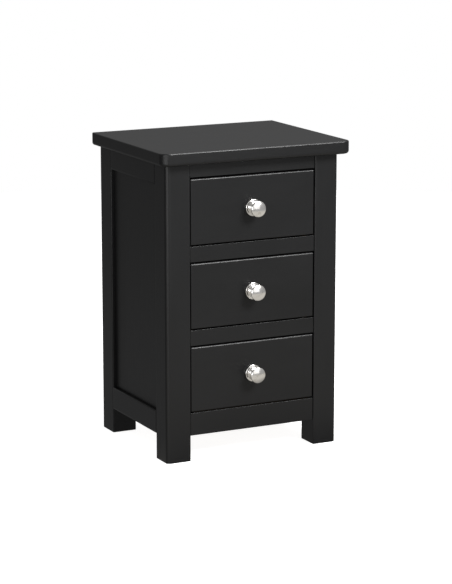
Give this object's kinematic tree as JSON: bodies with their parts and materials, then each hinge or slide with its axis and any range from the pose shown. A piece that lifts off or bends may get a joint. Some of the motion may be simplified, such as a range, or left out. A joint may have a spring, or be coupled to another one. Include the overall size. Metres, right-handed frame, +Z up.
{
  "type": "nightstand with drawers",
  "caption": "Painted wooden bedside cabinet on square legs, with an overhanging top and inset drawers that slide out on wooden runners by round metal knobs.",
  "frame": {"origin": "on the floor, under the centre of the overall box (the box's depth includes the knobs)", "axes": "+X to the right seen from the front, +Y towards the back, +Z up; the drawers open towards -Y"},
  "size_m": [0.4, 0.3304, 0.6],
  "materials": {
    "charcoal_paint": "satin charcoal paint over solid wood",
    "plain_timber": "clear-sealed pale softwood",
    "plywood": "thin birch plywood, unpainted",
    "polished_knob": "polished nickel-chrome",
    "zinc_screw": "bright zinc plate"
  },
  "bodies": {
    "carcass": {"back_panel": "plywood", "back_rail_bottom": "charcoal_paint", "back_rail_top": "charcoal_paint", "corner_block_back_left": "plain_timber", "corner_block_back_right": "plain_timber", "corner_block_front_left": "plain_timber", "corner_block_front_right": "plain_timber", "front_divider_lower": "charcoal_paint", "front_divider_upper": "charcoal_paint", "front_rail_bottom": "charcoal_paint", "front_rail_top": "charcoal_paint", "leg_back_left": "charcoal_paint", "leg_back_right": "charcoal_paint", "leg_front_left": "charcoal_paint", "leg_front_right": "charcoal_paint", "runner_bottom_left": "plain_timber", "runner_bottom_right": "plain_timber", "runner_middle_left": "plain_timber", "runner_middle_right": "plain_timber", "runner_top_left": "plain_timber", "runner_top_right": "plain_timber", "side_panel_left": "charcoal_paint", "side_panel_right": "charcoal_paint", "side_rail_bottom_left": "charcoal_paint", "side_rail_bottom_right": "charcoal_paint", "side_rail_top_left": "charcoal_paint", "side_rail_top_right": "charcoal_paint", "top_board": "charcoal_paint", "top_screw_back_left": "zinc_screw", "top_screw_back_right": "zinc_screw", "top_screw_front_left": "zinc_screw", "top_screw_front_right": "zinc_screw"},
    "drawer_top": {"drawer_top_back": "plain_timber", "drawer_top_bottom": "plywood", "drawer_top_front": "charcoal_paint", "drawer_top_knob": "polished_knob", "drawer_top_knob_screw": "zinc_screw", "drawer_top_side_left": "plain_timber", "drawer_top_side_right": "plain_timber"},
    "drawer_middle": {"drawer_middle_back": "plain_timber", "drawer_middle_bottom": "plywood", "drawer_middle_front": "charcoal_paint", "drawer_middle_knob": "polished_knob", "drawer_middle_knob_screw": "zinc_screw", "drawer_middle_side_left": "plain_timber", "drawer_middle_side_right": "plain_timber"},
    "drawer_bottom": {"drawer_bottom_back": "plain_timber", "drawer_bottom_bottom": "plywood", "drawer_bottom_front": "charcoal_paint", "drawer_bottom_knob": "polished_knob", "drawer_bottom_knob_screw": "zinc_screw", "drawer_bottom_side_left": "plain_timber", "drawer_bottom_side_right": "plain_timber"}
  },
  "joints": [
    {"name": "drawer_top_slide", "type": "slide", "parent": "carcass", "child": "drawer_top", "axis": [0, -1, 0], "range_m": [0, 0.2]},
    {"name": "drawer_middle_slide", "type": "slide", "parent": "carcass", "child": "drawer_middle", "axis": [0, -1, 0], "range_m": [0, 0.2]},
    {"name": "drawer_bottom_slide", "type": "slide", "parent": "carcass", "child": "drawer_bottom", "axis": [0, -1, 0], "range_m": [0, 0.2]}
  ]
}
